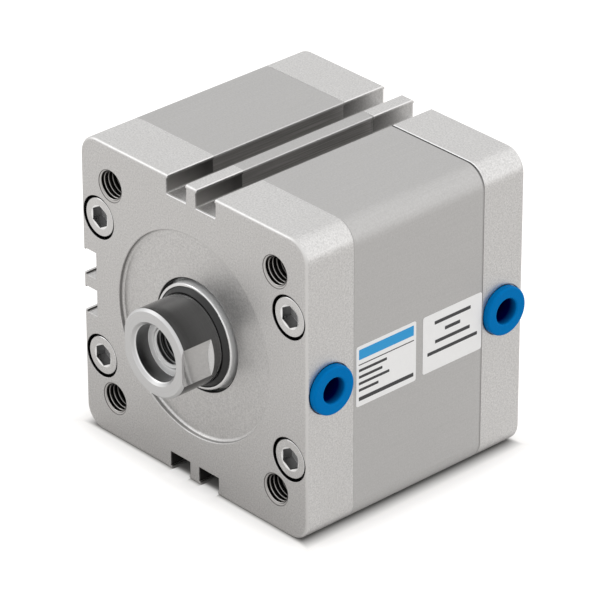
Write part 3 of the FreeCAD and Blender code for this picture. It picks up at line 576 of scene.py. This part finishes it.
def tapped_aluminium():
    """Threads in the caps: cut metal with a pale mouth, and painted shade between the ridges and deep
    down.
    """
    finish = Finish("tapped_aluminium")
    grain = finish.noise(0.3 * MM, 2.0)
    depth = finish.from_end_face()
    crest = MOUNT_RADIUS - THREAD_HEIGHT * MOUNT_PITCH
    valley = finish.rise(finish.from_axis(MOUNT_HALF, MOUNT_HALF), crest, crest + 0.15 * MM)
    tone = finish.layers(
        grey(0.62, WARMER),
        (grain, grey(0.74, WARMER)),
        # Painted shade, dark and warm, between the ridges and deeper down
        (finish.largest(valley, finish.rise(depth, MOUNT_MOUTH, THREAD_SHADE_DEPTH)), grey(0.025, 0.08)),
        (finish.fall(depth, 0.22 * MM, 0.34 * MM), grey(0.54, 0.02)),
    )
    return finish.shade(Base_Color=tone, Metallic=1.0, Roughness=0.3)


def extruded_aluminium():
    """Barrel: drawn through a die, so it is rougher around than along, with faint streaks and a grain."""
    finish = Finish("extruded_aluminium")
    streak = finish.noise(0.3 * MM, 3.0, stretch=(1.0, 60.0, 1.0))
    grain = finish.noise(0.4 * MM, 3.0)
    # Painted shade for the slot walls, in streaks
    slot_shade_tone = finish.blend(finish.rise(streak, *CLOUD_SPREAD), grey(0.18, WARMER), grey(0.30, WARMER))
    tone = finish.layers(
        grey(0.485, CLEAN),
        (finish.rise(streak, *STREAK_SPREAD), grey(0.525, CLEAN)),
        (finish.ramp(grain, *GRAIN_SPREAD, 0.0, 0.6), grey(0.42, 0.02)),
        (slot_shade(finish), slot_shade_tone),
        # Painted highlight on the slots' bevelled mouths
        (slot_edges(finish), grey(0.60, CLEAN)),
        # Painted shade, nearly black, in the seam before the rear cap
        (rear_seam(finish, SEAM_GAP, CORNER_RADIUS, 0.22), grey(0.05)),
    )
    finish.bump(streak, 0.002 * MM, EDGE_BREAK)
    around = finish.add("ShaderNodeTangent", direction_type="RADIAL", axis="Y").outputs[0]
    roughness = finish.ramp(grain, *GRAIN_SPREAD, 0.46, 0.54)
    finish.shade(Anisotropic=0.5, Tangent=around)
    return finish.shade(Base_Color=tone, Metallic=1.0, Roughness=roughness)


def turned_metal(name, dark, light, roughness, warm=0.0):
    """Turned metal: fine rings around the rod's axis, with a little cloud in the shine."""
    finish = Finish(name)
    rings = finish.tool_rings(0.14 * MM)
    cloud = finish.noise(3.0 * MM, 2.0)
    tone = finish.blend(rings, grey(dark, warm), grey(light, warm))
    finish.bump(rings, 0.001 * MM)
    shine = finish.ramp(cloud, *CLOUD_SPREAD, roughness * 0.85, roughness * 1.15)
    return finish.shade(Base_Color=tone, Metallic=1.0, Roughness=shine)


def rod_steel():
    """Rod: hard chrome on the round, painted dark as its reflection; bright machined steel on the end,
    flats and recess.
    """
    finish = Finish("chromed_rod_steel")
    rings = finish.tool_rings(0.12 * MM)
    span = finish.from_axis()
    depth = finish.sums("SUBTRACT", finish.y, ROD_TIP)
    cut = finish.fall(span, ROD_RADIUS - 0.06 * MM, ROD_RADIUS - 0.02 * MM)
    inside = finish.fall(span, ROD_RECESS_RADIUS + 0.02 * MM, ROD_RECESS_RADIUS + 0.08 * MM)
    floor = finish.product(
        finish.rise(depth, ROD_RECESS_DEPTH - 0.12 * MM, ROD_RECESS_DEPTH - 0.04 * MM),
        finish.fall(depth, ROD_RECESS_DEPTH + 0.1 * MM, ROD_RECESS_DEPTH + 0.6 * MM),
        inside,
    )
    end = finish.fall(depth, ROD_EDGE, ROD_EDGE + 0.05 * MM)
    tone = finish.layers(
        # Painted reflection: the round is dark grey for the dark surroundings that the chrome mirrors
        finish.blend(rings, grey(0.12), grey(0.145)),
        (cut, finish.blend(rings, grey(0.76), grey(0.86))),
        # Painted shade on the recess wall
        (inside, finish.blend(rings, grey(0.15), grey(0.20))),
        (floor, finish.blend(rings, grey(0.90), grey(0.95))),
        # Painted shade: the end and its chamfer take a darker copy of the flats' steel
        (end, finish.blend(rings, grey(0.58), grey(0.68))),
    )
    finish.bump(rings, 0.0008 * MM)
    off_middle = finish.sums("ABSOLUTE", finish.x)
    flat = finish.ramp(off_middle, ROD_HALF_FLATS - 0.1 * MM, ROD_HALF_FLATS, 0.32, 0.08)
    shine = finish.sums("MINIMUM", finish.ramp(cut, 0.0, 1.0, 0.2, 0.32), flat)
    shine = finish.largest(shine, finish.product(floor, 0.9), finish.product(end, 0.45))
    return finish.shade(Base_Color=tone, Metallic=1.0, Roughness=shine)


def ring_steel():
    """Ring around the rod: polished on its rim and inside, satin on its outer wall."""
    finish = Finish("polished_steel")
    rings = finish.tool_rings(0.2 * MM)
    tone = finish.blend(rings, grey(0.74), grey(0.80))
    wall = finish.rise(finish.from_axis(), COLLAR_RADIUS - 0.12 * MM, COLLAR_RADIUS - 0.04 * MM)
    finish.bump(rings, 0.001 * MM)
    shine = finish.ramp(wall, 0.0, 1.0, 0.15, 0.85)
    return finish.shade(Base_Color=tone, Metallic=1.0, Roughness=shine)


def zinc_steel():
    """Cap screws: bright zinc, a little mottled, with painted shade in the sockets and black below the
    heads' rims.
    """
    finish = Finish("zinc_plated_steel")
    mottle = finish.noise(0.5 * MM, 3.0)
    span = finish.from_axis(*SCREW_PLACE)
    depth = finish.sums("SUBTRACT", finish.from_end_face(), SCREW_HEAD_TOP)
    socket = finish.rise(depth, 0.15 * MM, 0.3 * MM)
    floor = finish.rise(depth, SOCKET_DEPTH - 0.2 * MM, SOCKET_DEPTH - 0.05 * MM)
    rim = finish.rise(span, SCREW_HEAD_RADIUS - 0.26 * MM, SCREW_HEAD_RADIUS - 0.2 * MM)
    tone = finish.layers(
        grey(0.59, 0.01),
        (mottle, grey(0.73, 0.01)),
        # Painted highlight: nearly white on the socket's mouth and the head's rounded edge
        (finish.rise(depth, 0.01 * MM, 0.04 * MM), grey(0.95)),
        # Painted shade: dark socket walls over a lighter floor
        (socket, finish.blend(floor, grey(0.26), grey(0.60))),
        # Painted shade: black below the heads' rims
        (finish.product(rim, finish.rise(depth, 0.02 * MM, 0.08 * MM)), grey(0.03)),
    )
    shine = finish.ramp(mottle, *CLOUD_SPREAD, 0.2, 0.3)
    shine = finish.product(shine, finish.ramp(socket, 0.0, 1.0, 1.0, 0.4))
    edge = finish.ramp(span, SCREW_HEAD_RADIUS - 0.5 * MM, SCREW_HEAD_RADIUS - 0.2 * MM, 0.0, 0.42)
    shine = finish.largest(shine, edge, finish.product(floor, 0.6))
    return finish.shade(Base_Color=tone, Metallic=1.0, Roughness=shine)


def black_rubber():
    """Seals: black rubber with a fine moulded skin."""
    finish = Finish("black_seal_rubber")
    skin = finish.noise(0.2 * MM, 3.0)
    tone = finish.blend(skin, grey(0.010), grey(0.022))
    finish.bump(skin, 0.006 * MM)
    return finish.shade(Base_Color=tone, Roughness=0.45)


def moulded_plastic(name, dark, light):
    """Dull moulded plastic with a slight orange-peel skin."""
    finish = Finish(name)
    skin = finish.noise(0.6 * MM, 2.0)
    tone = finish.blend(skin, (*dark, 1.0), (*light, 1.0))
    finish.bump(skin, 0.006 * MM)
    return finish.shade(Base_Color=tone, Roughness=0.5)


def release_plastic():
    """Release rings: blue plastic, with painted shade turning it navy down the hole for the tube."""
    finish = Finish("blue_plastic")
    skin = finish.noise(0.6 * MM, 2.0)
    tone = finish.blend(skin, (0.0, 0.15, 0.43, 1.0), (0.0, 0.175, 0.49, 1.0))
    off_middle = finish.apart(finish.y, 0.5 * (FRONT_PORT + REAR_PORT))
    off_port = finish.sums("SUBTRACT", off_middle, 0.5 * (REAR_PORT - FRONT_PORT))
    around = finish.add("ShaderNodeCombineXYZ", {0: off_port, 2: finish.z}).outputs[0]
    hole = finish.fall(finish.across(around), TUBE_RADIUS + 0.1 * MM, TUBE_RADIUS + 0.3 * MM)
    deep = finish.rise(finish.x, RELEASE_FACE, RELEASE_FACE - HOLE_SHADE_DEPTH)
    # Painted shade: navy down the hole for the tube
    tone = finish.blend(finish.product(hole, deep), tone, (0.0, 0.001, 0.08, 1.0))
    finish.bump(skin, 0.006 * MM)
    return finish.shade(Base_Color=tone, Roughness=0.4, Specular_IOR_Level=0.02)


def label_film():
    """Labels: satin white film with a faint mottle."""
    finish = Finish("label_film")
    mottle = finish.noise(2.5 * MM, 3.0)
    tone = finish.blend(mottle, grey(0.80, 0.004), grey(0.85, 0.004))
    return finish.shade(Base_Color=tone, Roughness=0.42)


def printing_ink(name, dark, light):
    """Ink on the labels, a little uneven."""
    finish = Finish(name)
    mottle = finish.noise(0.5 * MM, 3.0)
    tone = finish.blend(mottle, (*dark, 1.0), (*light, 1.0))
    return finish.shade(Base_Color=tone, Roughness=0.5)


FINISHES = {
    "cap_aluminium": blasted_aluminium(),
    "barrel_aluminium": extruded_aluminium(),
    "piston_aluminium": turned_metal("turned_aluminium", 0.60, 0.72, 0.32),
    "rod_steel": rod_steel(),
    "polished_steel": ring_steel(),
    "screw_steel": zinc_steel(),
    "spring_steel": turned_metal("spring_steel", 0.42, 0.50, 0.25),
    "bush_bronze": turned_metal("bush_bronze", 0.42, 0.52, 0.35, warm=0.35),
    "sleeve_brass": turned_metal("sleeve_brass", 0.55, 0.62, 0.28, warm=0.35),
    "seal_rubber": black_rubber(),
    "magnet_ferrite": moulded_plastic("magnet_ferrite", (0.03, 0.03, 0.032), (0.05, 0.05, 0.052)),
    "guide_plastic": moulded_plastic("guide_plastic", (0.77, 0.74, 0.65), (0.83, 0.80, 0.71)),
    "release_plastic": release_plastic(),
}
for node in frame["nodes"].values():
    for place in node.material_slots:
        place.material = FINISHES[place.material.name]


# Threads in the mounting holes and in the rod's end


def mount_threads(name, mount, into, material):
    """The four tapped holes of one end, as one piece."""
    mouth = mount["pos_m"][1] + into * MOUNT_MOUTH
    depth = MOUNT_THREAD_DEPTH - MOUNT_MOUTH - THREAD_GAP
    sleeves = [
        thread_sleeve(place_x, place_z, mouth, depth, MOUNT_RADIUS, MOUNT_PITCH, into)
        for place_x in (-MOUNT_HALF, MOUNT_HALF)
        for place_z in (-MOUNT_HALF, MOUNT_HALF)
    ]
    return make_piece(name, *join_shapes(sleeves), material, "housing", "cap_aluminium")


def rod_end_thread():
    """The thread below the recess in the rod's end."""
    radius = MOUNTS["rod_thread"]["dims"]["r_mm"] * MM
    start = ROD_TIP + ROD_RECESS_DEPTH + THREAD_GAP
    depth = ROD_THREAD_DEPTH - ROD_RECESS_DEPTH - 2.0 * THREAD_GAP
    sleeve = thread_sleeve(0.0, 0.0, start, depth, radius, ROD_PITCH, 1)
    return make_piece("rod_end_thread", *sleeve, FINISHES["rod_steel"], "piston_and_rod", "rod_steel")


TAPPED_ALUMINIUM = tapped_aluminium()
mount_threads("front_mount_threads", MOUNTS["front_bolts"], 1, TAPPED_ALUMINIUM)
mount_threads("rear_mount_threads", MOUNTS["rear_bolts"], -1, TAPPED_ALUMINIUM)
rod_end_thread()


# Labels with plain printed bars


def label_plate(name, start, end, bottom, top, film):
    """One label, lying on the barrel's right side."""
    plate = rounded_plate(start, end, bottom, top, SIDE_FACE, LABEL_THICKNESS, LABEL_CORNER)
    return make_piece(name, *plate, film, "housing", "barrel_aluminium", smooth=False)


def printed_bars(name, bars, ink):
    """Plain bars printed on a label, as one piece of thin plates on its face."""
    plates = [
        rounded_plate(
            start * MM, end * MM, (middle - 0.5 * width) * MM, (middle + 0.5 * width) * MM,
            SIDE_FACE + LABEL_THICKNESS, INK_THICKNESS, INK_CORNER,
        )
        for start, end, middle, width in bars
    ]
    return make_piece(name, *join_shapes(plates), ink, "housing", "barrel_aluminium", smooth=False)


LABEL_FILM = label_film()
DARK_INK = printing_ink("dark_ink", (0.02, 0.02, 0.022), (0.04, 0.04, 0.043))
BLUE_INK = printing_ink("blue_ink", (0.005, 0.28, 0.62), (0.01, 0.32, 0.66))
label_plate("front_label", *FRONT_LABEL, LABEL_FILM)
label_plate("rear_label", *REAR_LABEL, LABEL_FILM)
printed_bars("front_label_band", FRONT_BAND, BLUE_INK)
printed_bars("front_label_bars", FRONT_BARS, DARK_INK)
printed_bars("rear_label_bars", REAR_BARS, DARK_INK)


# Floor, light and camera


def add_stage(name, points, material):
    """A flat four-sided sheet of the studio, which is no part of the cylinder."""
    mesh = bpy.data.meshes.new(name)
    mesh.from_pydata(points, [], [[0, 1, 2, 3]])
    mesh.materials.append(material)
    sheet = bpy.data.objects.new(name, mesh)
    bpy.context.scene.collection.objects.link(sheet)
    return sheet


def out_from_body(finish):
    """How far each point of the floor lies out from the body's sides, and out from its ends.

    In the mouths of the bottom slots it counts as a little farther out from the end, which paints light on
    the floor there.
    """
    beside = finish.sums("SUBTRACT", finish.sums("ABSOLUTE", finish.x), SIDE_FACE)
    before = finish.product(finish.from_end_face(), -1.0)
    mouth = finish.ramp(finish.from_slot(), SLOT_HALF - MOUTH_SOFT, SLOT_HALF, MOUTH_LIGHT, 0.0)
    lit = finish.sums("MINIMUM", finish.sums("ADD", before, mouth), MOUTH_REACH)
    return beside, finish.largest(before, lit)


def glow_seen(finish, out, darkest, soft, end):
    """The floor's glow as the camera sees it, low by the body as a painted shadow: a steep rise, then a
    slow one.
    """
    near = finish.ramp(out, darkest, soft, 0.0, GLOW_NEAR)
    far = finish.ramp(out, soft, end, 0.0, GLOW_FAR)
    return finish.sums("ADD", near, far)


def glow_mirrored(finish, beside, before, near_side):
    """The floor's glow in the metal's mirror: strong beside the body as painted light, rising slowly
    before its ends as painted shade.
    """
    side = finish.product(
        finish.ramp(beside, *MIRRORED_SIDE, MIRRORED_NEAR, MIRRORED_FAR),
        near_side,
        finish.rise(finish.y, *MIRRORED_FRONT),
    )
    return finish.largest(side, finish.ramp(before, *MIRRORED_END, 0.0, MIRRORED_FAR))


def white_floor():
    """A pale sheet that keeps the object's shadow and adds a painted one: its tone darkens and its glow,
    which makes it white, fades by the body.
    """
    finish = Finish("pale_floor")
    ray = finish.add("ShaderNodeLightPath").outputs
    beside, before = out_from_body(finish)
    near_side = finish.rise(beside, *PALE_SIDE)
    near_end = finish.rise(before, *PALE_END)
    # Painted shadow: the floor's tone is darker by the body
    tone = finish.blend(finish.largest(near_side, near_end), grey(0.25, 0.02), grey(0.62, 0.02))
    seen = finish.largest(glow_seen(finish, beside, *SIDE_SHADOW), glow_seen(finish, before, *END_SHADOW))
    through = finish.largest(ray["Is Glossy Ray"], ray["Is Transmission Ray"])
    glow = finish.sums(
        "ADD",
        finish.product(ray["Is Camera Ray"], seen),
        # Painted light and shade in the metal's reflections of the floor
        finish.product(through, glow_mirrored(finish, beside, before, near_side)),
    )
    finish.shade(Base_Color=tone, Roughness=0.9, Specular_IOR_Level=0.0)
    finish.shade(Emission_Color=grey(1.0), Emission_Strength=glow)
    corners = [(-1, -1), (1, -1), (1, 1), (-1, 1)]
    points = [(x * FLOOR_HALF, y * FLOOR_HALF, FLOOR_HEIGHT) for x, y in corners]
    add_stage("floor", points, finish.material)


def studio_world():
    """An even white studio all around."""
    world = bpy.data.worlds.new("studio")
    world.use_nodes = True
    light = world.node_tree.nodes["Background"]
    light.inputs["Color"].default_value = grey(1.0)
    light.inputs["Strength"].default_value = 1.0
    bpy.context.scene.world = world


def soft_box(name, place, size, brightness):
    """A square lamp that faces the object, with the power that gives it its brightness."""
    lamp = bpy.data.lights.new(name, "AREA")
    lamp.shape = "SQUARE"
    lamp.size = size
    lamp.energy = brightness * math.pi * size * size
    holder = bpy.data.objects.new(name, lamp)
    holder.location = place
    holder.rotation_euler = (Vector(place) - VIEW_CENTRE).to_track_quat("Z", "Y").to_euler()
    holder.visible_camera = False
    bpy.context.scene.collection.objects.link(holder)


def photo_camera():
    """A long lens that looks down on the rod's end and the port side."""
    back = Vector((
        math.cos(VIEW_ELEVATION) * math.sin(VIEW_AZIMUTH),
        -math.cos(VIEW_ELEVATION) * math.cos(VIEW_AZIMUTH),
        math.sin(VIEW_ELEVATION),
    ))
    turn = back.to_track_quat("Z", "Y").to_matrix() @ Matrix.Rotation(VIEW_ROLL, 3, "Z")
    lens = bpy.data.cameras.new("camera")
    lens.lens = VIEW_LENS
    lens.sensor_width = VIEW_SENSOR
    lens.clip_end = VIEW_END
    camera = bpy.data.objects.new("camera", lens)
    camera.matrix_world = Matrix.Translation(VIEW_CENTRE + VIEW_DISTANCE * back) @ turn.to_4x4()
    bpy.context.scene.collection.objects.link(camera)
    bpy.context.scene.camera = camera


white_floor()
studio_world()
for lamp_name, lamp_values in LAMPS.items():
    soft_box(lamp_name, *lamp_values)
photo_camera()
bpy.context.scene.view_settings.view_transform = "Standard"
